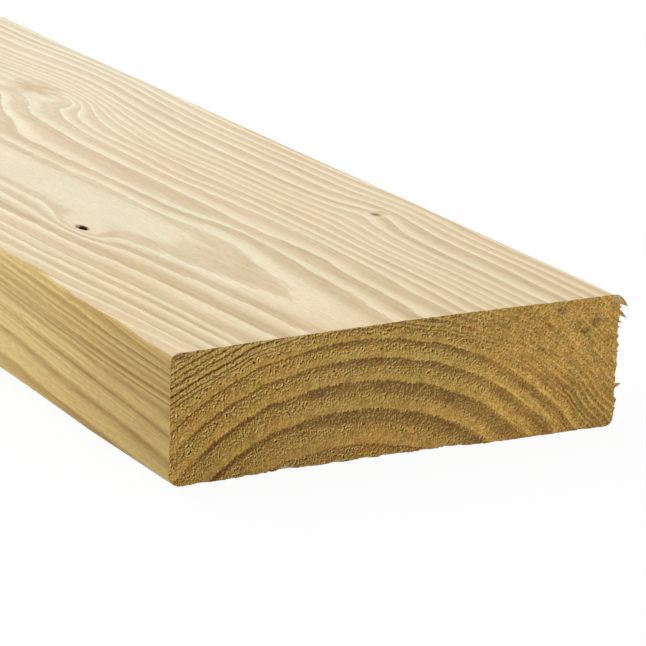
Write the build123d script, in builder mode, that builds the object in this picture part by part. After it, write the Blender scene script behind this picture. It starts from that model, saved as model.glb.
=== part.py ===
# Timber stud: one straight length of planed softwood with eased long edges and square sawn ends.
# It lies on a broad face. The grain runs along Y, the width along X and the thickness up Z.
# The origin is at the centre of the underside.

import os

from build123d import *

# Driving dimensions, in millimetres
stud_width = 140.0  # broad face, from edge to edge
stud_thickness = 38.0  # narrow edge, from face to face
stud_length = 2400.0  # along the grain, from sawn end to sawn end
arris_radius = 3.0  # easing of the four long edges, left by the planer's rounding knives

os.makedirs("parts", exist_ok=True)

# The planed section stands on the floor line and is centred across the width.
with BuildPart() as stud:
    with BuildSketch(Plane.XZ) as section:
        Rectangle(stud_width, stud_thickness, align=(Align.CENTER, Align.MIN))
        fillet(section.vertices(), arris_radius)

    # The saw crosses the grain squarely at both ends and leaves those edges sharp.
    extrude(amount=stud_length / 2, both=True)

stud.part.label = "stud"
export_step(stud.part, "parts/stud.step")
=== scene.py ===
import math

import bpy
import numpy as np
from mathutils import Matrix, Vector


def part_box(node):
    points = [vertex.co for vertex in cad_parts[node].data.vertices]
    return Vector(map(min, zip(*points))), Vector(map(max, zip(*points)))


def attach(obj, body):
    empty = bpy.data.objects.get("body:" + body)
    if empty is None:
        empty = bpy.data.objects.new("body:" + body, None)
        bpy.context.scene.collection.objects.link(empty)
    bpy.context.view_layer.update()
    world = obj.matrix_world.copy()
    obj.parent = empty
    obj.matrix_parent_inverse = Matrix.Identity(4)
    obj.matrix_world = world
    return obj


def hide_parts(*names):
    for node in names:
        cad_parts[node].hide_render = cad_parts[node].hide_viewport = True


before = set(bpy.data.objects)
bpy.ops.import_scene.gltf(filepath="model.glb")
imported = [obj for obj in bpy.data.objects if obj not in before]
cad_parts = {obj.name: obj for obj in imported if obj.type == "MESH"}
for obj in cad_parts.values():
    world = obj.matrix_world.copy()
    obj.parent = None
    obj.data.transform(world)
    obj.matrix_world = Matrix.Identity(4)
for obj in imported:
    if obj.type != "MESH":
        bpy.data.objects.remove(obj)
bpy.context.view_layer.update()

mm = 0.001
studLow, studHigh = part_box("stud")
studWidth = (studHigh.x - studLow.x) / mm
studThick = (studHigh.z - studLow.z) / mm
studLength = (studHigh.y - studLow.y) / mm
nearEnd = studLow.y / mm
halfWidth = studWidth / 2
print("frame loaded, stud", round(studWidth), "x", round(studThick), "x", round(studLength), "mm")


slack = 0.01  # mm, for telling whether two places are the same
seeds = {"slowWave": 11, "quickWave": 12, "nearEnd": 21, "farEnd": 61, "arris": 90}


# small helpers for shapes

def smoothStep(low, high, value):
    t = np.clip((value - low) / (high - low), 0, 1)
    return t * t * (3 - 2 * t)


def softNoise(u, v, cell, seed):
    # smooth random hills between -1 and 1, one hill or hollow per cell
    cells, offset = 128, 40.0
    table = np.random.RandomState(seed).uniform(-1, 1, (cells, cells))
    u = np.asarray(u, float) / cell + offset
    v = np.asarray(v, float) / cell + offset
    i = np.floor(u).astype(int)
    j = np.floor(v).astype(int)
    f = smoothStep(0, 1, u - i)
    g = smoothStep(0, 1, v - j)
    i0, i1 = i % cells, (i + 1) % cells
    j0, j1 = j % cells, (j + 1) % cells
    low = table[i0, j0] * (1 - f) + table[i1, j0] * f
    high = table[i0, j1] * (1 - f) + table[i1, j1] * f
    return low * (1 - g) + high * g


# how the tree grew, in mm and degrees, with lengths along the grain counted from the near end
growth = {
    "heartLeft": (  # along, across and up: the heart lies below the stud and wanders
        (0, -15.7, -62.3), (32, -17.0, -62.13), (80, -19.6, -61.7), (128, -22.0, -61.2),
        (175, -23.5, -61.0), (230, -24.5, -61.0), (310, -25.0, -61.3), (460, -21.0, -61.8),
        (800, -13.0, -60.2), (1150, -19.0, -63.2), (1550, -12.0, -61.4), (1950, -18.0, -63.8),
        (2400, -14.0, -62.0),
    ),
    "heartRight": (  # the same for the rings right of the crown, which run straighter
        (0, -15.5, -62.3), (45, -16.3, -61.9), (80, -17.3, -61.4), (140, -17.6, -61.9),
        (200, -18.2, -62.4), (310, -18.0, -62.4), (460, -17.0, -62.0), (800, -13.0, -60.6),
        (1150, -18.0, -62.8), (1550, -12.0, -61.4), (1950, -17.0, -63.4), (2400, -14.0, -62.0),
    ),
    "blend": (-2.0, 13.0),  # degrees from the crown over which one gives way to the other
    "firstRing": 47.0,  # radius of the innermost ring that is listed
    "ringWidths": (
        10.5, 10.0, 9.9, 7.9, 6.3, 5.3, 3.3, 1.0, 1.9, 2.2, 1.5, 1.9, 1.7, 1.3, 1.7, 1.9, 2.4,
        4.0, 3.1, 2.5, 2.8, 2.3, 2.1, 2.4, 2.1, 2.5, 2.5, 3.0,
    ),
    "lateShares": (0.40, 0.06, 0.41, 0.50, 0.37, 0.31, 0.15, 0.55, 0.58),  # dark part of the first rings
    "outerLateShare": 0.5,  # and of all the rings outside them
    "depths": (  # how dark each ring's dark part is
        0.8, 0.9, 0.95, 0.95, 0.9, 0.9, 0.85, 0.9, 1.0, 0.7, 0.65, 0.75, 0.55, 0.3, 0.65, 0.55, 1.0,
        0.9, 0.75, 0.85, 0.75, 0.7, 0.6, 0.8, 0.7, 0.6, 0.8, 0.7,
    ),
    "wobble": 0.3,  # how far a ring strays from a circle
    "slowWave": (12.0, 10.0),  # degrees from wave to wave, and how far they are drawn out along the grain
    "quickWave": (4.0, 8.0),
    "crown": (4.0, 14.0, 0.15),  # the flat crown stays even: from and to degrees, least share of the waves
    "crownLength": (350.0, 600.0),  # until here
    "sway": (4.0, 9.0, 0.6, 1.2),  # right of the crown the lines sway more: degrees, usual and added share
    "dent": (-17.0, 2.3, 0.6, 60.0),  # a flute in the trunk: angle and width in degrees, depth, length
    "flare": (-20.0, -42.0, 2.6, 70.0),  # the left flank turns down at the near end
    "flareRings": (97.0, 101.0),  # the radius at which that gives way to rings that turn up again
    "flareTurn": 1.3,
}
ringCount = len(growth["ringWidths"])
outerRings = ringCount - len(growth["lateShares"])
lateShares = growth["lateShares"] + (growth["outerLateShare"],) * outerRings
ringEdges = growth["firstRing"] + np.cumsum((0.0,) + growth["ringWidths"])


def smoothLine(stations, along):
    # a smooth line through the listed places
    stations = np.array(stations, float)
    places = stations[:, 0]
    slopes = np.gradient(stations[:, 1:], places, axis=0)
    along = np.asarray(along, float)
    n = np.clip(np.searchsorted(places, along, side="right") - 1, 0, len(places) - 2)
    gap = places[n + 1] - places[n]
    t = np.clip((along - places[n]) / gap, 0, 1)
    t, gap = t[..., None], gap[..., None]
    first, second = stations[n, 1:], stations[n + 1, 1:]
    line = first * (1 + 2 * t) * (1 - t) ** 2 + second * t * t * (3 - 2 * t)
    line = line + gap * t * (1 - t) * (slopes[n] * (1 - t) - slopes[n + 1] * t)
    return line[..., 0], line[..., 1]


def heartDistance(x, along, z):
    leftX, leftZ = smoothLine(growth["heartLeft"], along)
    rightX, rightZ = smoothLine(growth["heartRight"], along)
    angle = np.degrees(np.arctan2(x - leftX, z - leftZ))
    share = smoothStep(*growth["blend"], angle)
    across = leftX + (rightX - leftX) * share
    up = leftZ + (rightZ - leftZ) * share
    inner, outer, least = growth["crown"]
    calm = np.clip((np.abs(angle) - inner) / (outer - inner), least, 1)
    calm = growth["wobble"] * np.maximum(calm, smoothStep(*growth["crownLength"], along))
    wave, drawn = growth["slowWave"]
    wobble = calm * softNoise(angle, along / drawn, wave, seeds["slowWave"])
    start, stop, usual, added = growth["sway"]
    sway = usual + added * smoothStep(start, stop, angle)
    wave, drawn = growth["quickWave"]
    wobble += sway * calm * softNoise(angle, along / drawn, wave, seeds["quickWave"])
    turn, wide, deep, fadeLength = growth["dent"]
    wobble -= deep * np.exp(-((angle - turn) / wide) ** 2) * np.exp(-along / fadeLength)
    distance = np.hypot(x - across, z - up)
    start, stop, reach, fadeLength = growth["flare"]
    turnUp = 1 - growth["flareTurn"] * smoothStep(*growth["flareRings"], distance)
    wobble += reach * turnUp * smoothStep(start, stop, angle) * np.exp(-along / fadeLength)
    return distance + wobble


def lateWood(radius):
    soft = 0.15  # part of a ring over which the dark wood begins
    number = np.interp(radius, ringEdges, np.arange(ringCount + 1))
    ring = np.clip(number.astype(int), 0, ringCount - 1)
    start = 1 - np.array(lateShares)[ring]
    return np.clip((number - ring - start) / soft + 0.5, 0, 1)


# the knots: where each branch meets the top face, its radius there, how far it leans up the tree,
# how much the grain swells round it (each time with a half width and a half length), the colour
# of its wood, how strongly that and its dark rim show, and whether it has left a hole
plainKnot = {"lean": 18.0, "tint": 0.6, "rim": 0.0, "open": False}
knots = [
    {
        **plainKnot, "across": -38.7, "along": 115.0, "radius": 1.05, "lean": 10.0,
        "swells": ((1.7, 5.0, 16.0),), "wood": (206, 172, 122), "tint": 0.4, "open": True,
    },
    {
        **plainKnot, "across": 49.4, "along": 98.5, "radius": 0.9, "lean": 14.0,
        "swells": ((1.9, 20.0, 22.0), (1.3, 5.0, 14.0)), "wood": (122, 84, 48), "tint": 0.95,
    },
    {
        **plainKnot, "across": 51.8, "along": 99.5, "radius": 1.2, "lean": 14.0,
        "swells": ((0.3, 3.0, 6.0),), "wood": (196, 158, 112),
    },
    {
        **plainKnot, "across": 27.0, "along": 284.0, "radius": 6.0, "lean": 20.0,
        "swells": ((4.8, 30.0, 50.0),), "wood": (200, 160, 116),
    },
    {
        **plainKnot, "across": 28.0, "along": 266.0, "radius": 1.5,
        "swells": ((2.8, 5.5, 18.0),), "wood": (212, 180, 140), "tint": 0.3,
    },
]

# knots further up the stud, which the photo does not show
furtherKnots = {
    "places": (  # across, along, radius
        (-30, 640, 6.0), (44, 905, 7.0), (8, 1240, 4.5),
        (-48, 1530, 6.5), (26, 1850, 8.0), (-20, 2160, 4.0),
    ),
    "swells": ((0.6, 4.0, 7.0), (0.5, 1.6, 5.0)),  # against the radius
    "look": {"wood": (184, 136, 84), "tint": 0.85, "rim": 0.6},
}
for across, along, radius in furtherKnots["places"]:
    swells = [[share * radius for share in swell] for swell in furtherKnots["swells"]]
    place = {"across": across, "along": along, "radius": radius, "swells": swells}
    knots.append({**plainKnot, **place, **furtherKnots["look"]})
openKnots = [knot for knot in knots if knot["open"]]


# the stud's shape, in mm
studShape = {
    "arris": 3.0,  # rounding of the long edges
    "arrisSteps": 6,  # mesh rows in it
    "arrisWear": {  # size of each rounding against the plain one, and how much it varies
        "topLeft": (0.55, 0.45),
        "topRight": (1.05, 0.12),
        "bottomLeft": (1.15, 0.4),
        "bottomRight": (0.9, 0.1),
    },
    "wearLength": 23.0,  # from one worn stretch to the next
    "nearWear": {  # added to that size at the near end, and the length over which it fades
        "topLeft": (0.12, 30.0),
        "bottomLeft": (-0.28, 18.0),
    },
    "endStep": 0.5,  # mesh size on the sawn ends
    "rimSteps": {"side": 4, "top": 4, "bottom": 8},  # how many of these steps the long faces take at once
    "fineRows": (0.5, 1.2),  # rows of the long faces next to an end, still with all its points
    "nearRows": (2.5, 5.0, 9.0, 14.0, 20.0),  # and the rows after them
    "closeRows": (30.0, 480.0, 10.0),  # start, stop and step
    "wideRows": 40.0,
    "holeRows": (3.8, 7.0, 1.0),  # fine mesh round the open knot: reach across and along, step
    "holeDepth": 3.5,
    "holeLength": 2.5,  # against its width
    "holeWall": (1.0, 0.4),  # where its wall begins and ends, against its radius
    "endDrop": 2.0,  # the dried near end is thinner at its left side
    "dropPower": 1.3,  # a higher power keeps that closer to the left
    "endCup": 0.4,  # and the middle of its top stands up a little
    "cupRange": (-10.0, 60.0),  # its middle and half width
    "endFade": 140.0,  # length over which both fade
    "rightInset": 0.6,  # the right edge leans in
    "leftInset": 0.62,  # so does the foot of the left edge
    "leftRise": 1.5,  # and further up it rises from the floor
    "riseRange": (66.0, 96.0, 250.0, 700.0),  # start, full, full until, stop
    "footPower": 8,  # keeps both close to that edge
    "sharpAngle": 55.0,
}


def endStations():
    # grid of a sawn end, each row as wide as the rounded corners leave it
    arris, step = studShape["arris"], studShape["endStep"]
    sideStep, bottomStep = studShape["rimSteps"]["side"], studShape["rimSteps"]["bottom"]
    turn = arris * (1 - np.cos(np.linspace(0, np.pi / 2, studShape["arrisSteps"] + 1)))
    flatRows = int(round((studThick - 2 * arris) / step / sideStep)) * sideStep
    flat = np.linspace(arris, studThick - arris, flatRows + 1)
    rows = np.concatenate([turn[:-1], flat, (studThick - turn)[::-1][1:]])
    inset = np.zeros(len(rows))
    low = rows < arris
    high = rows > studThick - arris
    inset[low] = arris - np.sqrt(arris ** 2 - (arris - rows[low]) ** 2)
    inset[high] = arris - np.sqrt(np.maximum(arris ** 2 - (rows[high] - studThick + arris) ** 2, 0))
    columns = int(round((studWidth - 2 * arris) / step / bottomStep)) * bottomStep
    x = np.outer(halfWidth - inset, np.linspace(-1, 1, columns + 1))
    z = np.repeat(rows[:, None], columns + 1, 1)
    return x, z


def loopAround(rowCount, columnCount):
    # cells round the rim of the end grid: underside, right edge, top, left edge
    rim = [(0, i) for i in range(columnCount)]
    rim += [(j, columnCount - 1) for j in range(1, rowCount)]
    rim += [(rowCount - 1, i) for i in range(columnCount - 2, -1, -1)]
    rim += [(j, 0) for j in range(rowCount - 2, 0, -1)]
    return rim


def alongStations():
    # rows of the long faces: close together near the ends and at the open knot
    near = studShape["nearRows"]
    close, wide = studShape["closeRows"], studShape["wideRows"]
    rows = list(near) + list(np.arange(*close))
    rows += list(np.arange(close[1], studLength - wide + 1, wide))  # until one step before the far end
    rows += [studLength - d for d in near[::-1]]
    reach, step = studShape["holeRows"][1:]
    for knot in openKnots:
        rows = [r for r in rows if abs(r - knot["along"]) > reach + step / 2]
        rows += list(knot["along"] + np.arange(-reach, reach + step / 2, step))
    return sorted(rows)


endX, endZ = endStations()
rowCount, columnCount = endX.shape
rim = loopAround(rowCount, columnCount)
rimX = np.array([endX[c] for c in rim])
rimZ = np.array([endZ[c] for c in rim])


def pickRim():
    # which rim points carry on down the length
    turnRows = studShape["arrisSteps"]
    steps = studShape["rimSteps"]
    reach = studShape["holeRows"][0]
    picks = []
    for k, (j, i) in enumerate(rim):
        onSide = i in (0, columnCount - 1)
        if onSide and turnRows <= j < rowCount - turnRows:
            keep = (j - turnRows) % steps["side"] == 0
        elif onSide:
            keep = j % 2 == 0 or j == rowCount - 1
        elif j == 0:
            keep = i % steps["bottom"] == 0
        else:
            atHole = any(abs(endX[j, i] - knot["across"]) < reach for knot in openKnots)
            keep = atHole or i % steps["top"] == 0
        if keep:
            picks.append(k)
    return picks


def buildStud():
    picks = pickRim()
    rows = alongStations()
    fineRows = studShape["fineRows"]
    parts = []
    offsets = {}
    total = 0

    def addPart(name, x, along, z):
        nonlocal total
        x = np.ravel(x).astype(float)
        offsets[name] = total
        parts.append(np.stack([x, np.zeros(len(x)) + along, np.ravel(z)], 1))
        total += len(x)

    addPart("nearCap", endX, 0.0, endZ)
    for n, d in enumerate(fineRows):
        addPart(("nearFine", n), rimX, d, rimZ)
    for n, d in enumerate(rows):
        addPart(("row", n), rimX[picks], d, rimZ[picks])
    for n, d in enumerate(fineRows[::-1]):
        addPart(("farFine", n), rimX, studLength - d, rimZ)
    addPart("farCap", endX, studLength, endZ)
    points = np.concatenate(parts)

    faces = []
    sawn = []

    def addFace(face, onEnd):
        faces.append(face)
        sawn.append(onEnd)

    def addCap(name, outward):
        start = offsets[name]
        for j in range(rowCount - 1):
            for i in range(columnCount - 1):
                a = start + j * columnCount + i
                quad = (a, a + 1, a + 1 + columnCount, a + columnCount)
                addFace(quad if outward < 0 else quad[::-1], True)

    def addBand(first, second):
        count = len(first)
        for k in range(count):
            n = (k + 1) % count
            addFace((first[k], second[k], second[n], first[n]), False)

    def addStitch(fine, coarse, fineFirst):
        # joins the close rim of an end to the wider spaced rows of the length
        def addTriangle(a, b, c):
            addFace((a, b, c) if fineFirst else (b, a, c), False)

        count = len(fine)
        for c, start in enumerate(picks):
            stop = picks[(c + 1) % len(picks)]
            span = (stop - start) % count
            a, b = coarse[c], coarse[(c + 1) % len(picks)]
            middle = span // 2
            corners = [fine[(start + s) % count] for s in range(span + 1)]
            for s in range(span):
                addTriangle(corners[s], a if s < middle else b, corners[s + 1])
            addTriangle(corners[middle], a, b)

    def ids(name, count):
        return list(range(offsets[name], offsets[name] + count))

    nearRim = [offsets["nearCap"] + j * columnCount + i for j, i in rim]
    farRim = [offsets["farCap"] + j * columnCount + i for j, i in rim]
    nearFine = [ids(("nearFine", n), len(rim)) for n in range(len(fineRows))]
    farFine = [ids(("farFine", n), len(rim)) for n in range(len(fineRows))]
    lengthwise = [ids(("row", n), len(picks)) for n in range(len(rows))]

    addCap("nearCap", -1)
    for first, second in zip([nearRim] + nearFine[:-1], nearFine):
        addBand(first, second)
    addStitch(nearFine[-1], lengthwise[0], True)
    for first, second in zip(lengthwise[:-1], lengthwise[1:]):
        addBand(first, second)
    addStitch(farFine[0], lengthwise[-1], False)
    for first, second in zip(farFine, farFine[1:] + [farRim]):
        addBand(first, second)
    addCap("farCap", 1)

    # how far round the section each rim point lies
    steps = np.hypot(np.diff(rimX, append=rimX[0]), np.diff(rimZ, append=rimZ[0]))
    girth = np.cumsum(np.concatenate([[0.0], steps[:-1]]))
    around = np.zeros(len(points))
    for loop in [nearRim, farRim] + nearFine + farFine:
        around[loop] = girth
    for loop in lengthwise:
        around[loop] = girth[picks]
    return points, faces, sawn, around, steps.sum()


# the sawn ends, in mm
sawnEnd = {
    "depth": 0.3,  # how far the surface lies below the true end
    "coarse": (0.22, 2.1),  # torn early wood: depth and size
    "fine": (0.20, 0.9),
    "pits": (0.9, 1.2),
    "wave": (0.2, 11.0),
    "pitsFrom": 0.45,  # lower means more of them
    "lateTorn": 0.25,  # how much of the tearing the late wood has
    "earlyDrop": 0.12,  # the early wood lies lower
    "reach": 3.0,  # how far up the length the tearing fades
    "rimReach": 2.0,  # the same for chips and fibres
    "broken": 0.5,  # how far the edge of the underside is broken away
    "chips": 0.6,  # and how unevenly
    "chipSizes": (0.9, 5.0),
    "chipRange": (-32.0, 13.0),  # the part of the underside that is chipped
    "chipFade": (24.0, 14.0),
    "chipElsewhere": 0.25,
    "chipHeight": 3.0,
    "fuzz": 1.0,  # short fibres along the right-hand edge
    "fuzzSize": 0.55,
    "fuzzFrom": 0.2,  # lower means more of them
    "fuzzWidth": 2.2,
    "tear": 0.35,  # how far the upper part of that edge is torn back
    "tearRange": (12.0, 28.0, 35.0, 37.5),  # start, full, full until, stop
    "bend": (0.15, 3.0),  # slow waves of that edge: depth and size
}

# fibres torn out at the right-hand edge, in mm, with each tip given outwards from the edge and up
splinters = (
    {"root": 36.2, "tip": (3.4, 33.7), "wide": 2.6, "deep": 1.6, "hook": 1.5},
    {"root": 33.0, "tip": (3.0, 30.4), "wide": 1.9, "deep": 1.2, "hook": 1.1},
    {"root": 30.2, "tip": (1.5, 29.4), "wide": 0.9, "deep": 0.7, "hook": 0.2},
    {"root": 28.4, "tip": (1.1, 28.2), "wide": 0.6, "deep": 0.5, "hook": 0.0},
    {"root": 22.6, "tip": (0.8, 23.0), "wide": 0.6, "deep": 0.5, "hook": 0.0},
    {"root": 16.6, "tip": (1.0, 17.3), "wide": 0.7, "deep": 0.5, "hook": 0.0},
    {"root": 11.2, "tip": (2.7, 11.7), "wide": 1.5, "deep": 0.9, "hook": -0.3},
    {"root": 4.4, "tip": (1.1, 5.0), "wide": 0.6, "deep": 0.5, "hook": 0.0},
)
splinterForm = {
    "rootDepth": 1.6,  # how deep each one is rooted in the edge
    "setBack": 0.9,  # behind the end
    "taper": 3.0,  # higher keeps the width longer
    "sides": 6,
    "steps": 8,
}


def endRelief(x, z, radius, seed):
    # how far the saw left the surface below the true end
    early = 1 - lateWood(radius)
    parts = {}
    for n, name in enumerate(("coarse", "fine", "pits", "wave")):
        depth, size = sawnEnd[name]
        noise = softNoise(x, z, size, seed + n)
        if name == "pits":
            noise = np.clip(noise - sawnEnd["pitsFrom"], 0, 1)
        parts[name] = depth * noise
    lateTorn = sawnEnd["lateTorn"]
    torn = (lateTorn + (1 - lateTorn) * early) * (parts["coarse"] + parts["fine"])
    return sawnEnd["depth"] + parts["wave"] + torn + early * (sawnEnd["earlyDrop"] + parts["pits"])


def raggedRim(x, z, fade, seed):
    # chips along the underside and short fibres at the right-hand edge
    start, stop = sawnEnd["chipRange"]
    before, after = sawnEnd["chipFade"]
    reach = smoothStep(start - before, start, x) * smoothStep(stop + after, stop, x)
    chips = 0 * x
    for n, size in enumerate(sawnEnd["chipSizes"]):
        chips += sawnEnd["chips"] * np.clip(softNoise(x, 0 * x, size, seed + 5 + n), 0, 1)
    lift = sawnEnd["chipElsewhere"] * chips + reach * (sawnEnd["broken"] + chips)
    lift *= np.clip(1 - z / sawnEnd["chipHeight"], 0, 1)
    fuzz = softNoise(z, 0 * z, sawnEnd["fuzzSize"], seed + 7) - sawnEnd["fuzzFrom"]
    start, full, until, stop = sawnEnd["tearRange"]
    depth, size = sawnEnd["bend"]
    fibres = sawnEnd["fuzz"] * np.clip(fuzz, 0, 1)
    fibres -= sawnEnd["tear"] * smoothStep(start, full, z) * smoothStep(stop, until, z)
    fibres -= depth * softNoise(z, 0 * z, size, seed + 8)
    side = np.clip(1 - (halfWidth - x) / sawnEnd["fuzzWidth"], 0, 1)
    return fade * side * fibres, fade * lift


def isRim(x, z):
    # points that lie on the rounded outline of the section
    arris = studShape["arris"]
    outX = np.maximum(np.abs(x) - (halfWidth - arris), 0)
    outZ = np.maximum(np.abs(z - studThick / 2) - (studThick / 2 - arris), 0)
    return np.hypot(outX, outZ) > arris - 2 * slack


def wearArris(x, along, z):
    # each long edge is rounded a little differently, and not evenly
    reach = studShape["arris"] + slack
    onRim = isRim(x, z)
    newX, newZ = x.copy(), z.copy()
    corners = {"topLeft": (-1, 1), "topRight": (1, 1), "bottomLeft": (-1, 0), "bottomRight": (1, 0)}
    for n, (name, (side, top)) in enumerate(corners.items()):
        cornerX, cornerZ = side * halfWidth, top * studThick
        near = onRim & (np.abs(x - cornerX) <= reach) & (np.abs(z - cornerZ) <= reach)
        size, vary = studShape["arrisWear"][name]
        extra, fadeLength = studShape["nearWear"].get(name, (0.0, 1.0))
        uneven = softNoise(along, 0 * along, studShape["wearLength"], seeds["arris"] + n)
        scale = size + vary * uneven
        scale += extra * np.exp(-(along / fadeLength) ** 2)
        newX = np.where(near, cornerX + (x - cornerX) * scale, newX)
        newZ = np.where(near, cornerZ + (z - cornerZ) * scale, newZ)
    return newX, newZ


def shrink(x, along, z):
    # drying has made the near end thinner at the left, and both edges lean in
    share = z / studThick
    left = np.clip((halfWidth - x) / studWidth, 0, 1)
    foot = left ** studShape["footPower"] * (1 - share)
    fade = np.clip(1 - along / studShape["endFade"], 0, 1)
    middle, reach = studShape["cupRange"]
    drop = studShape["endDrop"] * left ** studShape["dropPower"]
    drop -= studShape["endCup"] * np.clip(1 - ((x - middle) / reach) ** 2, 0, 1)
    start, full, until, stop = studShape["riseRange"]
    rise = smoothStep(start, full, along) * smoothStep(stop, until, along)
    newX = x - studShape["rightInset"] * (1 - left) + studShape["leftInset"] * foot
    newZ = z - drop * fade * share + studShape["leftRise"] * rise * foot
    return newX, along, newZ


def shapeStud(points):
    x, along, z = points.T.copy()
    radius = heartDistance(x, along, z)
    place = along.copy()
    wornX, wornZ = wearArris(x, along, z)
    for end, distance, sign in (("nearEnd", along, 1), ("farEnd", studLength - along, -1)):
        seed = seeds[end]
        near = distance < sawnEnd["reach"]
        nearX, nearZ = x[near], z[near]
        fade = np.clip(1 - distance[near] / sawnEnd["reach"], 0, 1)
        place[near] += sign * fade * endRelief(nearX, nearZ, radius[near], seed)
        fade = np.clip(1 - distance[near] / sawnEnd["rimReach"], 0, 1)
        across, lift = raggedRim(nearX, nearZ, fade, seed)
        wornX[near] += across
        wornZ[near] += lift
    onTop = z > studThick - slack
    for knot in openKnots:
        aside = (x - knot["across"]) / knot["radius"]
        hole = np.hypot(aside, (along - knot["along"]) / (studShape["holeLength"] * knot["radius"]))
        wornZ -= onTop * studShape["holeDepth"] * smoothStep(*studShape["holeWall"], hole)
    moved = shrink(wornX, place, wornZ)
    return moved[0], moved[1] + nearEnd, moved[2], radius


def makeSplinters(first, atFar):
    # slender bent fibres with their roots in the wood
    points, faces = [], []
    sides, steps = splinterForm["sides"], splinterForm["steps"]
    rootDepth = splinterForm["rootDepth"]
    for splinter in splinters:
        start = first + len(points)
        tipX, tipZ = splinter["tip"]
        depth = splinterForm["setBack"] + splinter["deep"] / 2
        for n in range(steps):
            t = n / steps
            x = halfWidth - rootDepth + (rootDepth + tipX) * t
            z = splinter["root"] + (tipZ - splinter["root"]) * t + splinter["hook"] * 2 * t * (1 - t)
            thin = (1 - t ** splinterForm["taper"]) / 2
            for k in range(sides):
                turn = 2 * np.pi * k / sides
                aside = splinter["deep"] * thin * np.sin(turn)
                points.append((x, depth - aside, z + splinter["wide"] * thin * np.cos(turn)))
        points.append((halfWidth + tipX, depth, tipZ))
        for n in range(steps - 1):
            for k in range(sides):
                a, b = start + n * sides + k, start + n * sides + (k + 1) % sides
                faces.append((a, a + sides, b + sides, b))
        last = start + (steps - 1) * sides
        tip = start + steps * sides
        faces += [(last + k, tip, last + (k + 1) % sides) for k in range(sides)]
        faces.append(tuple(start + k for k in range(sides)))
    points = np.array(points)
    if atFar:
        points[:, 1] = studLength - points[:, 1]
        faces = [f[::-1] for f in faces]
    return points, faces


# texture layout: the length is cut into strips side by side, with the enlarged ends above them, in mm
layout = {
    "strips": 3,
    "gap": 5.0,
    "stretchAlong": 1.12,
    "endScale": 3.6,
    "splinterSpace": 22.0,
}


def layTexture(mesh, points, faces, sawn, around, girth, wholeFaces):
    gap, scale = layout["gap"], layout["endScale"]
    strip = studLength / layout["strips"]
    side = layout["strips"] * (girth + gap)
    shelf = strip * layout["stretchAlong"] + gap
    endSpace = studWidth * scale + gap
    corners = []
    for n, (face, onEnd) in enumerate(zip(faces, sawn)):
        x, along, z = points[list(face)].T
        if onEnd:
            far = along[0] > studLength / 2
            left = far * endSpace + halfWidth * scale
            if n >= wholeFaces:  # splinters
                edge = halfWidth - splinterForm["rootDepth"]
                left = 2 * endSpace + far * layout["splinterSpace"] - edge * scale
            u = left + x * scale
            v = shelf + z * scale
        else:
            number = min(int(along.mean() / strip), layout["strips"] - 1)
            turn = around[list(face)]
            if turn.max() - turn.min() > girth / 2:
                turn = np.where(turn < girth / 2, turn + girth, turn)
            u = number * (girth + gap) + turn
            v = (along - number * strip) * layout["stretchAlong"]
        corners.append(np.stack([u, v], 1) / side)
    layer = mesh.uv_layers.new(name="OFBake")
    layer.data.foreach_set("uv", np.concatenate(corners).ravel())


# the upper right corner of the near end has lost its colour
paleCorner = {
    "inset": (1.6, 0.4, 1.2),  # mm from the corner: across, along, down
    "size": (1.3, 1.6, 0.9),
    "strength": 0.75,
}


def makeStud():
    points, faces, sawn, around, girth = buildStud()
    x, y, z, radius = shapeStud(points)
    shaped = np.stack([x, y, z], 1)
    wholeFaces = len(faces)
    for atFar in (False, True):
        extra, extraFaces = makeSplinters(len(shaped), atFar)
        radius = np.concatenate([radius, heartDistance(*extra.T)])
        moved = np.stack(shrink(*extra.T), 1) + (0, nearEnd, 0)
        shaped = np.concatenate([shaped, moved])
        points = np.concatenate([points, extra])
        faces += extraFaces
        sawn += [True] * len(extraFaces)
    mesh = bpy.data.meshes.new("timberStud")
    mesh.from_pydata(shaped * mm, [], faces)
    mesh.polygons.foreach_set("material_index", np.array(sawn, int))
    mesh.polygons.foreach_set("use_smooth", np.ones(len(faces), bool))
    across, along, down = paleCorner["inset"]
    corner = (halfWidth - across, nearEnd + along, studThick - down)
    distance = (((shaped - corner) / paleCorner["size"]) ** 2).sum(1)
    bleached = paleCorner["strength"] * np.exp(-distance)
    for name, values in (("heartDistance", radius), ("bleached", bleached)):
        mesh.attributes.new(name, "FLOAT", "POINT").data.foreach_set("value", values.astype(np.float32))
    layTexture(mesh, points, faces, sawn, around, girth, wholeFaces)
    mesh.set_sharp_from_angle(angle=math.radians(studShape["sharpAngle"]))
    mesh.update()
    stud = bpy.data.objects.new("timberStud", mesh)
    bpy.context.collection.objects.link(stud)
    print("stud meshed,", sum(len(f) - 2 for f in faces), "triangles")
    return stud


# small helpers for materials

def toLinear(colour):
    return [((c / 255 + 0.055) / 1.055) ** 2.4 if c > 10 else c / 255 / 12.92 for c in colour] + [1.0]


def setSocket(tree, socket, value):
    # a value that another node works out is linked, any other is typed in
    if isinstance(value, bpy.types.NodeSocket):
        tree.links.new(value, socket)
    else:
        socket.default_value = value


def addNode(tree, kind, values=None, **settings):
    node = tree.nodes.new(kind)
    for name, value in settings.items():
        setattr(node, name, value)
    for socket, value in (values or {}).items():
        setSocket(tree, node.inputs[socket], value)
    return node


def doMath(tree, operation, *values):
    return addNode(tree, "ShaderNodeMath", dict(enumerate(values)), operation=operation).outputs[0]


def times(tree, first, *others):
    for other in others:
        first = doMath(tree, "MULTIPLY", first, other)
    return first


def remainder(tree, share):
    return doMath(tree, "SUBTRACT", 1.0, share)


def doVector(tree, operation, *values):
    node = addNode(tree, "ShaderNodeVectorMath", dict(enumerate(values)), operation=operation)
    return node.outputs["Value" if operation in ("DOT_PRODUCT", "LENGTH") else "Vector"]


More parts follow.
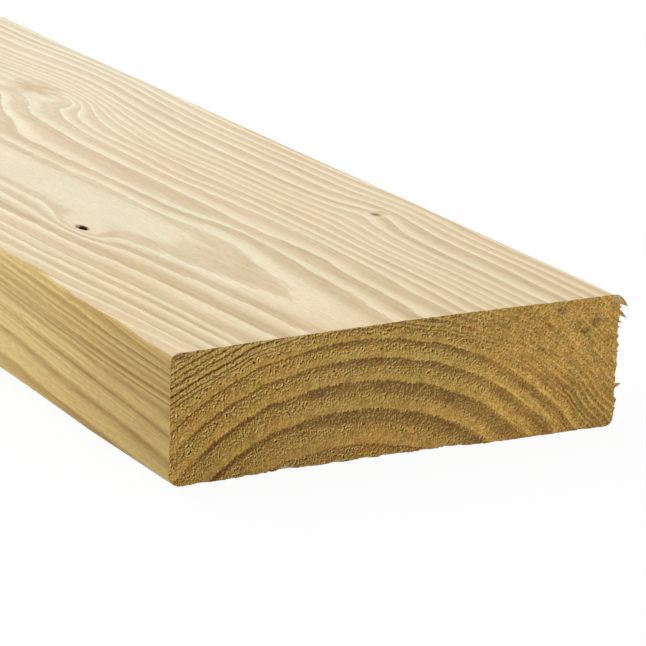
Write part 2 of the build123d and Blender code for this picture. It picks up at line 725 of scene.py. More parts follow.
def splitPlace(tree, coords):
    return addNode(tree, "ShaderNodeSeparateXYZ", {0: coords}).outputs


def ramp(tree, value, low, high, newLow=0.0, newHigh=1.0, kind="LINEAR"):
    values = {0: value, 1: low, 2: high, 3: newLow, 4: newHigh}
    return addNode(tree, "ShaderNodeMapRange", values, interpolation_type=kind).outputs[0]


def ease(tree, *values):
    # a ramp with a soft start and a soft stop
    return ramp(tree, *values, kind="SMOOTHSTEP")


def vary(tree, noise, low, high, spread=0.2):
    # a noise lies round 0.5: its usual spread is drawn out from low to high
    return ramp(tree, noise, 0.5 - spread, 0.5 + spread, low, high)


def mixColours(tree, share, first, second, blend="MIX"):
    # this node keeps its colour sockets after those for numbers and vectors
    node = addNode(tree, "ShaderNodeMix", data_type="RGBA", blend_type=blend)
    for socket, value in ((0, share), (6, first), (7, second)):
        setSocket(tree, node.inputs[socket], value)
    return node.outputs[2]


def paint(tree, share, colour, newColour):
    return mixColours(tree, share, colour, toLinear(newColour))


def tint(tree, share, colour, tone):
    return mixColours(tree, share, colour, tone + (1,), "MULTIPLY")


def shade(tree, colour, light):
    grey = addNode(tree, "ShaderNodeCombineColor", {0: light, 1: light, 2: light}).outputs[0]
    return mixColours(tree, 1.0, colour, grey, "MULTIPLY")


def readAttribute(tree, name):
    return addNode(tree, "ShaderNodeAttribute", attribute_name=name).outputs["Fac"]


def addNoise(tree, coords, sizes, detail=2.0, roughness=0.5):
    # sizes are the length of one blotch along x, y and z, in mm
    placed = doVector(tree, "MULTIPLY", coords, [1 / (s * mm) for s in sizes])
    values = {"Vector": placed, "Scale": 1.0, "Detail": detail, "Roughness": roughness}
    return addNode(tree, "ShaderNodeTexNoise", values).outputs[0]


def addSpot(tree, coords, place, sizes, fade=(1.3, 0.4)):
    # 1 in the middle of a spot and 0 outside it, with half sizes in mm
    fromPlace = doVector(tree, "SUBTRACT", coords, Vector(place) * mm)
    scaled = doVector(tree, "MULTIPLY", fromPlace, [1 / (s * mm) for s in sizes])
    return ease(tree, doVector(tree, "LENGTH", scaled), *fade)


def topSpot(tree, coords, place, sizes):
    across, along = place
    wide, far = sizes
    return addSpot(tree, coords, (across, nearEnd + along, studThick), (wide, far, wide))


def endSpot(tree, coords, place, sizes, deep=30.0, **fade):
    across, up = place
    wide, tall = sizes
    return addSpot(tree, coords, (across, nearEnd, up), (wide, deep, tall), **fade)


def addSlowTint(tree, coords, colour, finish):
    # the wood is greener in some parts and warmer in others
    noise = addNoise(tree, coords, *finish["tintNoise"])
    warm = ease(tree, noise, *finish["tintEdges"])
    tone = mixColours(tree, warm, finish["greenTint"] + (1,), finish["warmTint"] + (1,))
    return mixColours(tree, 1.0, colour, tone, "MULTIPLY")


def addCurve(tree, share, values):
    # a graph through evenly or unevenly spaced values
    curve = addNode(tree, "ShaderNodeFloatCurve", {"Value": share})
    points = curve.mapping.curves[0].points
    points[0].location, points[1].location = values[0], values[-1]
    for place in values[1:-1]:
        points.new(*place)
    for point in points:
        point.handle_type = "VECTOR"
    curve.mapping.update()
    return curve.outputs[0]


def startMaterial(name):
    material = bpy.data.materials.new(name)
    material.use_nodes = True
    return material, material.node_tree


def finishMaterial(tree, finish, colour, roughness, height):
    strength, depth = finish["bump"]
    bump = addNode(tree, "ShaderNodeBump", {"Strength": strength, "Distance": depth * mm, "Height": height})
    values = {"Base Color": colour, "Roughness": roughness, "Specular IOR Level": finish["shine"]}
    values["Normal"] = bump.outputs[0]
    for socket, value in values.items():
        setSocket(tree, tree.nodes["Principled BSDF"].inputs[socket], value)


# growth rings in the materials

branchForm = {
    "length": 2.0,  # of a knot against its width
    "quiet": (2.2, 4.0),  # half width and half length, in radii, within which the rings are faint
    "quietShare": 0.25,  # how much of them is left there
    "leastReach": 0.05,  # keeps the sums sound close to the heart
}


def addKnotFlow(tree, coords, knot):
    # the grain swells round a branch that runs out from the heart of the tree
    across, up = smoothLine(growth["heartLeft"], knot["along"])
    reach = Vector((knot["across"] - float(across), knot["lean"], studThick - float(up)))
    start = Vector((float(across), knot["along"] + nearEnd - reach.y, float(up))) * mm
    fromHeart = doVector(tree, "SUBTRACT", coords, start)
    outwards = doVector(tree, "DOT_PRODUCT", fromHeart, reach.normalized() / (reach.length * mm))
    outwards = doMath(tree, "MAXIMUM", outwards, branchForm["leastReach"])
    branch = addNode(tree, "ShaderNodeVectorMath", {0: reach * mm, "Scale": outwards}, operation="SCALE")
    aside = doVector(tree, "SUBTRACT", fromHeart, branch.outputs[0])

    def measure(wide, lengthwise):
        sizes = (wide, lengthwise, wide)
        scaled = doVector(tree, "MULTIPLY", aside, [1 / (size * mm) for size in sizes])
        return doMath(tree, "DIVIDE", doVector(tree, "LENGTH", scaled), outwards)

    def hill(wide, lengthwise):
        steep = doMath(tree, "POWER", measure(wide, lengthwise), 2.0)
        return doMath(tree, "EXPONENT", times(tree, steep, -1.0))

    radius = knot["radius"]
    core = measure(radius, branchForm["length"] * radius)
    nearby = hill(*[share * radius for share in branchForm["quiet"]])
    bulge = 0.0
    for swell, wide, lengthwise in knot["swells"]:
        bulge = doMath(tree, "ADD", bulge, times(tree, hill(wide, lengthwise), swell))
    return core, nearby, times(tree, bulge, outwards)


def addRings(tree, jitter):
    # how dark the wood is at each place in its ring, shared by the planed and the sawn faces
    coords = addNode(tree, "ShaderNodeTexCoord").outputs["Object"]
    radius = readAttribute(tree, "heartDistance")
    for sizes, reach in jitter:
        stray = doMath(tree, "SUBTRACT", addNoise(tree, coords, sizes, roughness=0.55), 0.5)
        radius = doMath(tree, "ADD", radius, times(tree, stray, reach))
    cores = []
    faint = 1.0
    for knot in knots:
        core, nearby, bulge = addKnotFlow(tree, coords, knot)
        radius = doMath(tree, "SUBTRACT", radius, bulge)
        faint = times(tree, ramp(tree, nearby, 0.0, 1.0, 1.0, branchForm["quietShare"]), faint)
        cores.append((knot, core))
    low, high = float(ringEdges[0]), float(ringEdges[-1])
    numbers = [((float(edge) - low) / (high - low), n / ringCount) for n, edge in enumerate(ringEdges)]
    number = times(tree, addCurve(tree, ramp(tree, radius, low, high), numbers), float(ringCount))
    place = doMath(tree, "DIVIDE", doMath(tree, "FLOOR", number), ringCount - 1.0)
    graphs = []
    for values in (lateShares, growth["depths"]):
        spaced = [(n / (ringCount - 1), value) for n, value in enumerate(values)]
        graphs.append(addCurve(tree, place, spaced))
    return {
        "coords": coords,
        "radius": radius,
        "phase": doMath(tree, "FRACT", number),
        "cores": cores,
        "lateShares": graphs[0],
        "depths": times(tree, graphs[1], faint),
    }


def addLateWood(tree, rings, lateShare, soft, ending=0.93):
    # dark band at the outside of a ring: fades in, ends sharply
    start = remainder(tree, lateShare)
    reach = times(tree, lateShare, soft)
    low = doMath(tree, "SUBTRACT", start, reach)
    high = doMath(tree, "ADD", start, reach)
    rise = ease(tree, rings["phase"], low, high)
    fall = ease(tree, rings["phase"], 1.0, ending)
    return times(tree, rise, fall, rings["depths"])


def addLines(tree, rings, wide, lengthwise):
    # fine lines that follow the rings, their width and length in mm
    across = doMath(tree, "DIVIDE", rings["radius"], wide)
    along = doMath(tree, "DIVIDE", splitPlace(tree, rings["coords"])[1], lengthwise * mm)
    place = addNode(tree, "ShaderNodeCombineXYZ", {0: across, 1: along}).outputs[0]
    return addNode(tree, "ShaderNodeTexNoise", {"Vector": place, "Scale": 1.0, "Detail": 2.0}).outputs[0]


# planed faces: noises have blotch sizes in mm, detail and roughness, lengths are mm from the near end,
# two numbers are the least and the most, a third is the spread of the noise
planedFinish = {
    "jitter": (((1.1, 11, 1.1), 0.32), ((4.5, 36, 4.5), 0.36), ((10, 90, 10), 0.3)),  # sizes and reach
    "broadEarly": ((251, 241, 216), (239, 223, 193)),  # at the start and at the end of the early wood
    "broadLate": (214, 191, 157),
    "broadSoft": (0.1, 0.3, 0.2, 0.42),  # thin dark parts begin sharply and thick ones softly
    "broadContrast": (110.0, 260.0, 1.02, 0.8),  # of the dark parts, from one length to another
    "narrowEarly": ((250, 226, 161), (243, 215, 149)),
    "narrowLate": (199, 161, 94),
    "narrowShare": 0.3,  # least dark part of a ring on the narrow faces
    "narrowSoft": (0.6, 0.8),  # how softly it begins, and where it begins to end
    "narrowContrast": (0.0, 120.0, 1.3, 0.85),
    "spent": (0.02, 0.42),  # part of a ring in which the early wood changes
    "spentRings": (99.0, 101.0, 0.4, 1.0),  # it does so less in the inner rings
    "brokenNoise": ((1.5, 12, 1.5), 2.0, 0.6),
    "broken": (0.6, 1.1),
    "patchNoise": ((8, 70, 8), 2.0, 0.5),
    "patchy": (0.6, 1.08),
    "turnNoise": ((40, 30, 40), 2.0, 0.55),
    "edgeTurn": (0.2, 0.75, 0.14),  # how far round the long edges the narrow faces' colour reaches
    "nearTurn": (12.0, 50.0, 0.8, 0.2),  # less far at the near end
    "turnSoft": 0.12,
    "tintNoise": ((16, 90, 16), 2.0, 0.55),
    "tintEdges": (0.36, 0.64),
    "warmTint": (1.0, 0.975, 0.95),
    "greenTint": (0.985, 1.0, 0.975),
    "tones": (  # across and along, half sizes, tint
        ((30.0, 150.0), (20.0, 62.0), (1.0, 0.965, 0.93)),
        ((66.0, 300.0), (20.0, 90.0), (1.0, 1.025, 1.04)),
        ((-22.0, 150.0), (13.0, 90.0), (0.985, 1.005, 1.02)),
        ((-13.0, 82.0), (24.0, 56.0), (1.017, 1.037, 1.047)),
        ((-58.0, 62.0), (17.0, 50.0), (0.988, 0.994, 0.965)),
    ),
    "broadNearShade": (0.99, 0.962, 0.912),  # painted shade: the near part of the broad faces is a little deeper in colour, where the light falls off towards the near end
    "broadNearShadeLengths": (130.0, 338.0),
    "broadEndShade": (0.955, 0.905, 0.84),  # painted shade: how the darker near end tints the broad and the narrow faces
    "broadEndShadeLength": 130.0,
    "narrowEndShade": (0.655, 0.588, 0.445),
    "narrowEndShadeLength": 160.0,
    "fibreNoise": ((0.8, 34, 0.8), 3.0, 0.6),
    "fibre": (0.94, 1.05, 0.25),
    "lineSizes": (0.5, 90),
    "lines": (0.94, 1.05),
    "lively": ((-68.0, 35.0), (24.0, 80.0), 2.4),  # place and half sizes of stronger lines, how strong
    "speckleNoise": ((0.7, 2.6, 0.7), 2.0, 0.65),
    "speckle": (0.945, 1.05),
    "narrowGrain": 1.7,  # how much stronger all these are on the narrow faces
    "fleckNoise": ((0.45, 5.0, 0.45), 1.0, 0.5),
    "flecks": (0.70, 0.80, 1.0, 0.84),
    "raggedNoise": ((3.5, 12, 3.5), 3.0, 0.65),
    "ragged": 2.4,  # how ragged the outline of a branch is
    "branchNoise": ((1.4, 9, 1.4), 2.0, 0.6),
    "branchStreaks": (0.36, 0.6, 0.35, 1.0),
    "branchFade": (1.6, 0.3),  # here and below, against the radius of the knot
    "knotRim": (120, 78, 42),
    "rimFade": (0.16, 0.02),
    "holeEdge": (150, 106, 58),
    "holeEdgeFade": (2.1, 1.1, 0.0, 0.75),
    # painted shade inside the open knot's hole
    "hole": (42, 22, 5),
    "holeShadeFade": (1.35, 0.95),
    "bleached": (222, 214, 206),
    "roughness": 0.62,
    "shine": 0.2,
    "bump": (0.2, 0.2),  # strength, and depth in mm
}


def planedWood(tree, rings, fromEnd):
    # early and late wood, as the broad and as the narrow faces show them
    coords, shares = rings["coords"], rings["lateShares"]
    soft = ease(tree, shares, *planedFinish["broadSoft"])
    narrowShares = doMath(tree, "MAXIMUM", shares, planedFinish["narrowShare"])
    lateWoods = {
        "broad": addLateWood(tree, rings, shares, soft),
        "narrow": addLateWood(tree, rings, narrowShares, *planedFinish["narrowSoft"]),
    }
    broken = vary(tree, addNoise(tree, coords, *planedFinish["brokenNoise"]), *planedFinish["broken"])
    patchy = vary(tree, addNoise(tree, coords, *planedFinish["patchNoise"]), *planedFinish["patchy"])
    spent = ease(tree, rings["phase"], *planedFinish["spent"])
    spent = times(tree, spent, ease(tree, rings["radius"], *planedFinish["spentRings"]))
    faces = []
    for name, late in lateWoods.items():
        contrast = ease(tree, fromEnd, *planedFinish[name + "Contrast"])
        early = mixColours(tree, spent, *[toLinear(c) for c in planedFinish[name + "Early"]])
        late = times(tree, late, broken, patchy, contrast)
        faces.append(paint(tree, late, early, planedFinish[name + "Late"]))
    return faces


def narrowPart(tree, coords, fromEnd):
    # 1 on the narrow faces: their colour wanders over the long edges
    normal = addNode(tree, "ShaderNodeTexCoord").outputs["Normal"]
    sideways = doMath(tree, "ABSOLUTE", splitPlace(tree, normal)[0])
    turn = vary(tree, addNoise(tree, coords, *planedFinish["turnNoise"]), *planedFinish["edgeTurn"])
    turn = doMath(tree, "MAXIMUM", turn, ease(tree, fromEnd, *planedFinish["nearTurn"]))
    soft = planedFinish["turnSoft"]
    return ease(tree, doMath(tree, "SUBTRACT", sideways, turn), -soft, soft)


def addPlanedTones(tree, coords, colour, fromEnd, onNarrow):
    # slow changes of tone, and painted shade at the near end
    colour = addSlowTint(tree, coords, colour, planedFinish)
    for place, sizes, tone in planedFinish["tones"]:
        colour = tint(tree, topSpot(tree, coords, place, sizes), colour, tone)
    onBroad = remainder(tree, onNarrow)
    # painted shade: the broad faces darken towards the near end
    nearShade = ease(tree, fromEnd, *planedFinish["broadNearShadeLengths"], 1.0, 0.0)
    colour = tint(tree, times(tree, nearShade, onBroad), colour, planedFinish["broadNearShade"])
    # painted shade: both kinds of face darken towards the near end, the narrow ones most
    for name, share in (("broadEndShade", onBroad), ("narrowEndShade", onNarrow)):
        endShade = ramp(tree, fromEnd, 0.0, planedFinish[name + "Length"], 1.0, 0.0)
        colour = tint(tree, times(tree, endShade, share), colour, planedFinish[name])
    return colour


def addPlanedGrain(tree, rings, fibres, onNarrow):
    # light and dark of the fine grain
    coords = rings["coords"]
    light = vary(tree, fibres, *planedFinish["fibre"])
    lines = vary(tree, addLines(tree, rings, *planedFinish["lineSizes"]), *planedFinish["lines"])
    place, sizes, strong = planedFinish["lively"]
    lively = ramp(tree, topSpot(tree, coords, place, sizes), 0.0, 1.0, 1.0, strong)
    lines = doMath(tree, "POWER", lines, lively)
    speckle = addNoise(tree, coords, *planedFinish["speckleNoise"])
    light = times(tree, light, lines, vary(tree, speckle, *planedFinish["speckle"]))
    light = doMath(tree, "POWER", light, ease(tree, onNarrow, 0.0, 1.0, 1.0, planedFinish["narrowGrain"]))
    flecks = ease(tree, addNoise(tree, coords, *planedFinish["fleckNoise"]), *planedFinish["flecks"])
    return times(tree, light, flecks)


def addBranches(tree, rings, colour):
    # wood of the branches, and the hole that one has left, with painted shade inside it
    coords = rings["coords"]
    ragged = doMath(tree, "SUBTRACT", addNoise(tree, coords, *planedFinish["raggedNoise"]), 0.5)
    streaks = addNoise(tree, coords, *planedFinish["branchNoise"])
    streaks = ease(tree, streaks, *planedFinish["branchStreaks"])
    roughness = planedFinish["roughness"]
    for knot, evenCore in rings["cores"]:
        uneven = times(tree, ragged, planedFinish["ragged"] * (1 - knot["rim"]))
        core = doMath(tree, "ADD", evenCore, uneven)
        inside = times(tree, ease(tree, core, *planedFinish["branchFade"]), knot["tint"], streaks)
        colour = paint(tree, inside, colour, knot["wood"])
        if knot["rim"]:
            offRim = doMath(tree, "ABSOLUTE", doMath(tree, "SUBTRACT", core, 1.0))
            rimShare = times(tree, ease(tree, offRim, *planedFinish["rimFade"]), knot["rim"])
            colour = paint(tree, rimShare, colour, planedFinish["knotRim"])
        if knot["open"]:
            fringe = ease(tree, evenCore, *planedFinish["holeEdgeFade"])
            colour = paint(tree, fringe, colour, planedFinish["holeEdge"])
            # painted shade inside the hole, which is also made fully rough
            dark = ease(tree, evenCore, *planedFinish["holeShadeFade"])
            colour = paint(tree, dark, colour, planedFinish["hole"])
            roughness = doMath(tree, "MAXIMUM", roughness, dark)
    return colour, roughness


def makePlanedFinish():
    material, tree = startMaterial("planedTimber")
    rings = addRings(tree, planedFinish["jitter"])
    coords = rings["coords"]
    along = doMath(tree, "DIVIDE", splitPlace(tree, coords)[1], mm)
    fromEnd = doMath(tree, "SUBTRACT", along, nearEnd)
    onNarrow = narrowPart(tree, coords, fromEnd)
    colour = mixColours(tree, onNarrow, *planedWood(tree, rings, fromEnd))
    colour = addPlanedTones(tree, coords, colour, fromEnd, onNarrow)
    fibres = addNoise(tree, coords, *planedFinish["fibreNoise"])
    colour = shade(tree, colour, addPlanedGrain(tree, rings, fibres, onNarrow))
    colour, roughness = addBranches(tree, rings, colour)
    colour = paint(tree, readAttribute(tree, "bleached"), colour, planedFinish["bleached"])
    finishMaterial(tree, planedFinish, colour, roughness, fibres)
    print("planed finish made")
    return material


# sawn ends, written in the same way: places across and up are in mm, radii too
endFinish = {
    "jitter": (((0.8, 20, 0.8), 0.22), ((3.5, 60, 3.5), 0.5)),
    "early": ((212, 172, 94), (187, 141, 69)),  # at the start and at the end of the early wood
    "late": (112, 78, 46),
    "outerRings": (97.0, 100.5),  # radius at which the narrow rings begin
    "leftPart": (-40.0, -14.0),  # across: the dark bands are thin at the left
    "leftWidth": (0.42, 0.62),  # how much of their width is left there, in the inner and the outer rings
    "rightWidth": (15.0, 40.0, 1.0, 1.35),  # and at the right
    "rightSoft": (10.0, 40.0, 0.16, 0.5),
    "rightEnding": (10.0, 40.0, 0.93, 0.72),
    "bandRise": (0.7, 1.0, 0.7, 1.0),  # a band is darkest at its outside
    "patchNoise": ((6, 30, 6), 2.0, 0.5),
    "patchy": (0.5, 1.0, 0.18),
    "evenPart": (-30.0, -50.0),  # across: the left has no patches
    "tornPart": (8.0, 36.0),  # across: the right is torn, and its outer bands are faint high up
    "tornOuter": (9.0, 24.0, 1.15, 0.15),
    "plainCorner": ((-69.0, 3.0), (9.5, 10.0)),  # no dark bands show in the lower left corner
    "plainFade": (1.3, 0.6),
    "plainShare": 0.15,
    "crispPart": (-22.0, -42.0),  # across: the upper left corner
    "crispLate": (94, 68, 22),  # has thin dark lines
    "crispEarly": (236, 200, 122),  # and light wood between them
    "crispBetween": (0.0, 0.5, 0.4, 0.0),
    "tintNoise": ((7, 40, 7), 2.0, 0.5),
    "tintEdges": (0.36, 0.64),
    "greenTint": (0.98, 1.015, 0.985),
    "warmTint": (1.015, 0.978, 0.965),
    "tones": (  # across and up, half sizes, tint
        ((-56.0, 16.0), (26.0, 26.0), (0.985, 0.945, 0.84)),
        ((-63.0, 24.0), (7.0, 7.0), (0.94, 0.91, 0.86)),
        ((-4.0, 5.0), (22.0, 6.0), (1.13, 1.07, 1.02)),
        ((38.0, 33.0), (12.0, 6.0), (0.88, 0.88, 0.86)),
    ),
    "darkPatch": (122, 82, 46),
    "darkPatchShare": 0.66,
    "darkPatchFade": (1.4, 0.5),
    "darkPatchDepth": 4.0,
    "darkPatches": (  # across and up, half sizes
        ((50.0, 35.4), (1.8, 1.0)),
        ((61.5, 31.0), (1.7, 1.5)),
        ((58.0, 28.6), (1.6, 0.9)),
        # a dark brown band along the top edge at the upper left corner
        ((-66.8, 35.1), (3.2, 1.3)),
    ),
    "clumpNoise": ((2.2, 2.2, 2.2), 2.0, 0.6),
    "grain": (0.68, 1.32, 0.14),
    "smoothLate": 0.85,  # how much less grain the dark bands have
    "raySizes": (0.35, 2.4),  # here and below, along the rings and out from the heart
    "rays": (0.76, 1.24),
    "streakSizes": (8.0, 0.6, 2.0),
    "streaks": (0.66, 1.34),  # along the rings where the saw tore the right-hand side
    "rightPart": (10.0, 45.0),
    "rightLight": (8.0, 28.0, 1.3, 1.16),  # the right-hand side is lighter, most of all low down
    "lightPart": (0.0, 30.0),
    "sandSizes": (0.36, 0.36),
    "sand": (0.7, 1.3),
    "speckSizes": (0.58, 0.66, 3.0),
    "speckShadowShift": (-0.3, 0.0, 0.28),  # each light speck, a pale fibre end with a painted highlight, has a painted shadow at its lower right
    "lightSpeck": (255, 226, 150),
    "lightFrom": (0.49, 0.65),
    # painted shadow beside each light speck
    "darkSpeck": (72, 44, 2),
    "darkFrom": (0.48, 0.65),
    "specks": (0.12, 0.5, 0.35, 1.15),  # more of them further out in a ring
    "speckOuter": 0.7,  # at least this much in the narrow rings
    "speckClumps": (0.3, 0.6, 0.5, 1.0),
    "speckRight": 0.6,
    "speckCorner": 0.95,
    "bleached": (236, 222, 202),
    "bleachedGrain": (0.35, 0.6, 0.3, 1.0),
    "roughness": 0.9,
    "shine": 0.05,
    "bump": (0.6, 0.4),  # strength, and depth in mm
}


def addGrain(tree, coords, around, outward, detail=1.0):
    # blotches with one size along the rings and one out from the heart, in mm
    usualRadius = 90.0
    start = Vector((growth["heartLeft"][0][1], 0, growth["heartLeft"][0][2])) * mm
    x, y, z = splitPlace(tree, doVector(tree, "SUBTRACT", coords, start))
    turn = times(tree, doMath(tree, "ARCTAN2", x, z), usualRadius / around)
    squares = doMath(tree, "ADD", times(tree, x, x), times(tree, z, z))
    out = doMath(tree, "DIVIDE", doMath(tree, "SQRT", squares), outward * mm)
    along = doMath(tree, "DIVIDE", y, outward * mm)
    place = addNode(tree, "ShaderNodeCombineXYZ", {0: turn, 1: out, 2: along}).outputs[0]
    values = {"Vector": place, "Scale": 1.0, "Detail": detail, "Roughness": 0.6}
    return addNode(tree, "ShaderNodeTexNoise", values).outputs[0]


def endBands(tree, rings, across, height, outer):
    # dark bands: thin at the left, faint where the saw tore the upper right
    coords = rings["coords"]
    thinnest = ease(tree, outer, 0.0, 1.0, *endFinish["leftWidth"])
    thickest = ease(tree, across, *endFinish["rightWidth"])
    width = ease(tree, across, *endFinish["leftPart"], thinnest, thickest)
    soft = ease(tree, across, *endFinish["rightSoft"])
    ending = ease(tree, across, *endFinish["rightEnding"])
    late = addLateWood(tree, rings, times(tree, rings["lateShares"], width), soft, ending)
    rise = ease(tree, rings["phase"], *endFinish["bandRise"])
    patchy = vary(tree, addNoise(tree, coords, *endFinish["patchNoise"]), *endFinish["patchy"])
    patchy = doMath(tree, "MAXIMUM", patchy, ease(tree, across, *endFinish["evenPart"]))
    tornOuter = ease(tree, height, *endFinish["tornOuter"])
    torn = ease(tree, outer, 0.0, 1.0, 1.0, tornOuter)
    torn = ease(tree, across, *endFinish["tornPart"], 1.0, torn)
    plain = endSpot(tree, coords, *endFinish["plainCorner"], fade=endFinish["plainFade"])
    plain = ramp(tree, plain, 0.0, 1.0, 1.0, endFinish["plainShare"])
    return times(tree, late, rise, patchy, torn, plain), torn


def endWood(tree, rings, late, torn, corner):
    # colour of the bands and of the wood between them, with its tones and dark patches
    coords = rings["coords"]
    spent = times(tree, doMath(tree, "SUBTRACT", rings["phase"], 0.5), torn)
    spent = doMath(tree, "ADD", spent, 0.5)
    early = mixColours(tree, spent, *[toLinear(c) for c in endFinish["early"]])
    colour = paint(tree, late, early, endFinish["late"])
    colour = paint(tree, times(tree, corner, late), colour, endFinish["crispLate"])
    between = times(tree, corner, ease(tree, late, *endFinish["crispBetween"]))
    colour = paint(tree, between, colour, endFinish["crispEarly"])
    colour = addSlowTint(tree, coords, colour, endFinish)
    for place, sizes, tone in endFinish["tones"]:
        colour = tint(tree, endSpot(tree, coords, place, sizes), colour, tone)
    deep, fade = endFinish["darkPatchDepth"], endFinish["darkPatchFade"]
    for place, sizes in endFinish["darkPatches"]:
        spot = times(tree, endSpot(tree, coords, place, sizes, deep, fade=fade), endFinish["darkPatchShare"])
        colour = paint(tree, spot, colour, endFinish["darkPatch"])
    return colour


def addTornFibres(tree, rings, colour, late, across, height, outer, corner):
    # coarse specks under each dark band and fine rays across it, streaks at the right; each light speck is
    # a pale fibre end with a painted highlight and a painted shadow at its lower right
    coords = rings["coords"]
    grains = addGrain(tree, coords, *endFinish["speckSizes"])
    shadowPlace = doVector(tree, "ADD", coords, Vector(endFinish["speckShadowShift"]) * mm)
    shadowGrains = addGrain(tree, shadowPlace, *endFinish["speckSizes"])
    clumps = addNoise(tree, coords, *endFinish["clumpNoise"])
    rightward = ease(tree, across, *endFinish["rightPart"])
    rough = remainder(tree, times(tree, late, endFinish["smoothLate"]))

    mixed = times(tree, doMath(tree, "ADD", grains, clumps), 0.5)
    grainLight = vary(tree, mixed, *endFinish["grain"])
    rayLight = vary(tree, addGrain(tree, coords, *endFinish["raySizes"]), *endFinish["rays"])
    light = ramp(tree, rough, 0.0, 1.0, rayLight, grainLight)
    streaks = vary(tree, addGrain(tree, coords, *endFinish["streakSizes"]), *endFinish["streaks"])
    streaks = ramp(tree, rightward, 0.0, 1.0, 1.0, streaks)
    rightLight = ease(tree, height, *endFinish["rightLight"])
    rightLight = ease(tree, across, *endFinish["lightPart"], 1.0, rightLight)
    sand = vary(tree, addGrain(tree, coords, *endFinish["sandSizes"]), *endFinish["sand"])
    colour = shade(tree, colour, times(tree, light, streaks, rightLight, sand))

    specks = ease(tree, rings["phase"], *endFinish["specks"])
    specks = doMath(tree, "MAXIMUM", specks, ease(tree, outer, 0.0, 1.0, 0.0, endFinish["speckOuter"]))
    specks = times(tree, specks, rough, ease(tree, clumps, *endFinish["speckClumps"]))
    for part, name in ((rightward, "speckRight"), (corner, "speckCorner")):
        specks = times(tree, specks, ease(tree, part, 0.0, 1.0, 1.0, endFinish[name]))
    # light specks with a painted highlight, dark specks as their painted shadows
    for noise, name in ((grains, "light"), (shadowGrains, "dark")):
        share = times(tree, ease(tree, noise, *endFinish[name + "From"]), specks)
        colour = paint(tree, share, colour, endFinish[name + "Speck"])
    return colour, grains


def makeEndFinish():
    material, tree = startMaterial("sawnEnd")
    rings = addRings(tree, endFinish["jitter"])
    place = splitPlace(tree, rings["coords"])
    across = doMath(tree, "DIVIDE", place[0], mm)
    height = doMath(tree, "DIVIDE", place[2], mm)
    outer = ease(tree, rings["radius"], *endFinish["outerRings"])
    corner = times(tree, ease(tree, across, *endFinish["crispPart"]), outer)
    late, torn = endBands(tree, rings, across, height, outer)
    colour = endWood(tree, rings, late, torn, corner)
    colour, grains = addTornFibres(tree, rings, colour, late, across, height, outer, corner)
    bleached = ease(tree, grains, *endFinish["bleachedGrain"])
    bleached = times(tree, readAttribute(tree, "bleached"), bleached)
    colour = paint(tree, bleached, colour, endFinish["bleached"])
    finishMaterial(tree, endFinish, colour, endFinish["roughness"], grains)
    print("sawn end finish made")
    return material


stud = makeStud()
stud.data.materials.append(makePlanedFinish())
stud.data.materials.append(makeEndFinish())
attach(stud, "root")
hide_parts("stud")


# white studio: pale floor, even sky and one broad lamp, in metres
studio = {
    "floorSize": 60.0,
    "floorDrop": 0.0002,  # below the stud
    "floorColour": (0.9, 0.9, 0.9, 1.0),
    "floorWhite": 0.95,  # share of plain white that the camera sees in the floor
    "white": (1, 1, 1, 1),
    "skyStrength": 0.6,
    "lampSize": 1.6,
    "lampPlace": (-0.6, 0.3, 2.0),
    "lampAim": (0.0, -0.8, 0.0),
    "lampPower": 30.0,
}


def seenDirectly(tree):
    # 1 for what the camera sees, also in a reflection or through glass
    path = addNode(tree, "ShaderNodeLightPath").outputs
    seen = doMath(tree, "MAXIMUM", path["Is Camera Ray"], path["Is Glossy Ray"])
    return doMath(tree, "MAXIMUM", seen, path["Is Transmission Ray"])


def makeFloor():
    half, level = studio["floorSize"] / 2, -studio["floorDrop"]
    mesh = bpy.data.meshes.new("floor")
    corners = [(-half, -half, level), (half, -half, level), (half, half, level), (-half, half, level)]
    mesh.from_pydata(corners, [], [(0, 1, 2, 3)])
    floor = bpy.data.objects.new("floor", mesh)
    bpy.context.collection.objects.link(floor)
    material, tree = startMaterial("studioFloor")
    tree.nodes.remove(tree.nodes["Principled BSDF"])
    matte = addNode(tree, "ShaderNodeBsdfDiffuse", {"Color": studio["floorColour"]})
    white = addNode(tree, "ShaderNodeEmission", {"Color": studio["white"], "Strength": 1.0})
    share = times(tree, seenDirectly(tree), studio["floorWhite"])
    mixed = addNode(tree, "ShaderNodeMixShader", {0: share, 1: matte.outputs[0], 2: white.outputs[0]})
    tree.links.new(mixed.outputs[0], tree.nodes["Material Output"].inputs["Surface"])
    mesh.materials.append(material)
    print("floor laid")


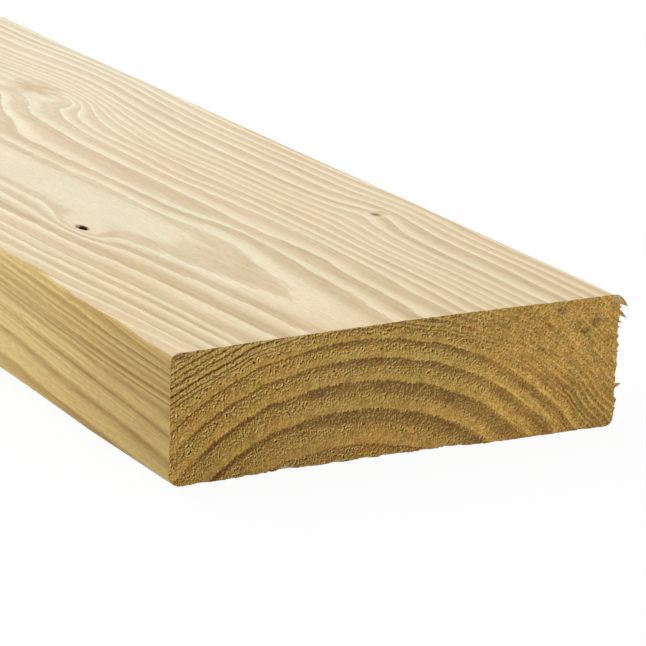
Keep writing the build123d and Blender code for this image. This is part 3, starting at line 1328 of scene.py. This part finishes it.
def makeLight():
    world = bpy.data.worlds.new("studioSky")
    bpy.context.scene.world = world
    world.use_nodes = True
    tree = world.node_tree
    sky = tree.nodes["Background"]
    sky.inputs["Color"].default_value = studio["white"]
    sky.inputs["Strength"].default_value = studio["skyStrength"]
    white = addNode(tree, "ShaderNodeBackground", {"Color": studio["white"], "Strength": 1.0})
    shaders = {0: seenDirectly(tree), 1: sky.outputs[0], 2: white.outputs[0]}
    mixed = addNode(tree, "ShaderNodeMixShader", shaders)
    tree.links.new(mixed.outputs[0], tree.nodes["World Output"].inputs["Surface"])
    data = bpy.data.lights.new("softBox", "AREA")
    data.shape = "SQUARE"
    data.size = studio["lampSize"]
    data.energy = studio["lampPower"]
    lamp = bpy.data.objects.new("softBox", data)
    bpy.context.collection.objects.link(lamp)
    place = Vector(studio["lampPlace"])
    lamp.location = place
    lamp.rotation_euler = (Vector(studio["lampAim"]) - place).to_track_quat("-Z", "Y").to_euler()
    bpy.context.scene.view_settings.view_transform = "Standard"
    print("studio lit")


# camera, set by matching the stud's edges to the photo
shot = {
    "azimuth": -30.9,  # degrees, round from straight in front of the near end
    "elevation": 16.28,
    "roll": 2.82,
    "distance": 0.9077,  # metres from the middle of the near end
    "slide": (-0.02125, 0.01733),  # metres, to the right and up
    "focalPixels": 3416.6,
    "imagePixels": 646,
    "sensor": 36.0,
    "clipStart": 0.01,
}


def makeCamera():
    azimuth, elevation, roll = (math.radians(shot[k]) for k in ("azimuth", "elevation", "roll"))
    level = math.cos(elevation)
    back = Vector((math.sin(azimuth) * level, -math.cos(azimuth) * level, math.sin(elevation)))
    flat = Vector((math.cos(azimuth), math.sin(azimuth), 0))
    upright = back.cross(flat)
    right = math.cos(roll) * flat + math.sin(roll) * upright
    up = math.cos(roll) * upright - math.sin(roll) * flat
    middle = Vector((0, studLow.y, (studLow.z + studHigh.z) / 2))
    place = middle + back * shot["distance"] + right * shot["slide"][0] + up * shot["slide"][1]
    data = bpy.data.cameras.new("photoCamera")
    data.sensor_width = shot["sensor"]
    data.lens = shot["focalPixels"] / shot["imagePixels"] * shot["sensor"]
    data.clip_start = shot["clipStart"]
    camera = bpy.data.objects.new("photoCamera", data)
    bpy.context.collection.objects.link(camera)
    turn = Matrix((right, up, back)).transposed().to_4x4()
    camera.matrix_world = Matrix.Translation(place) @ turn
    bpy.context.scene.camera = camera
    print("camera set,", round(data.lens, 1), "mm lens")


makeFloor()
makeLight()
makeCamera()
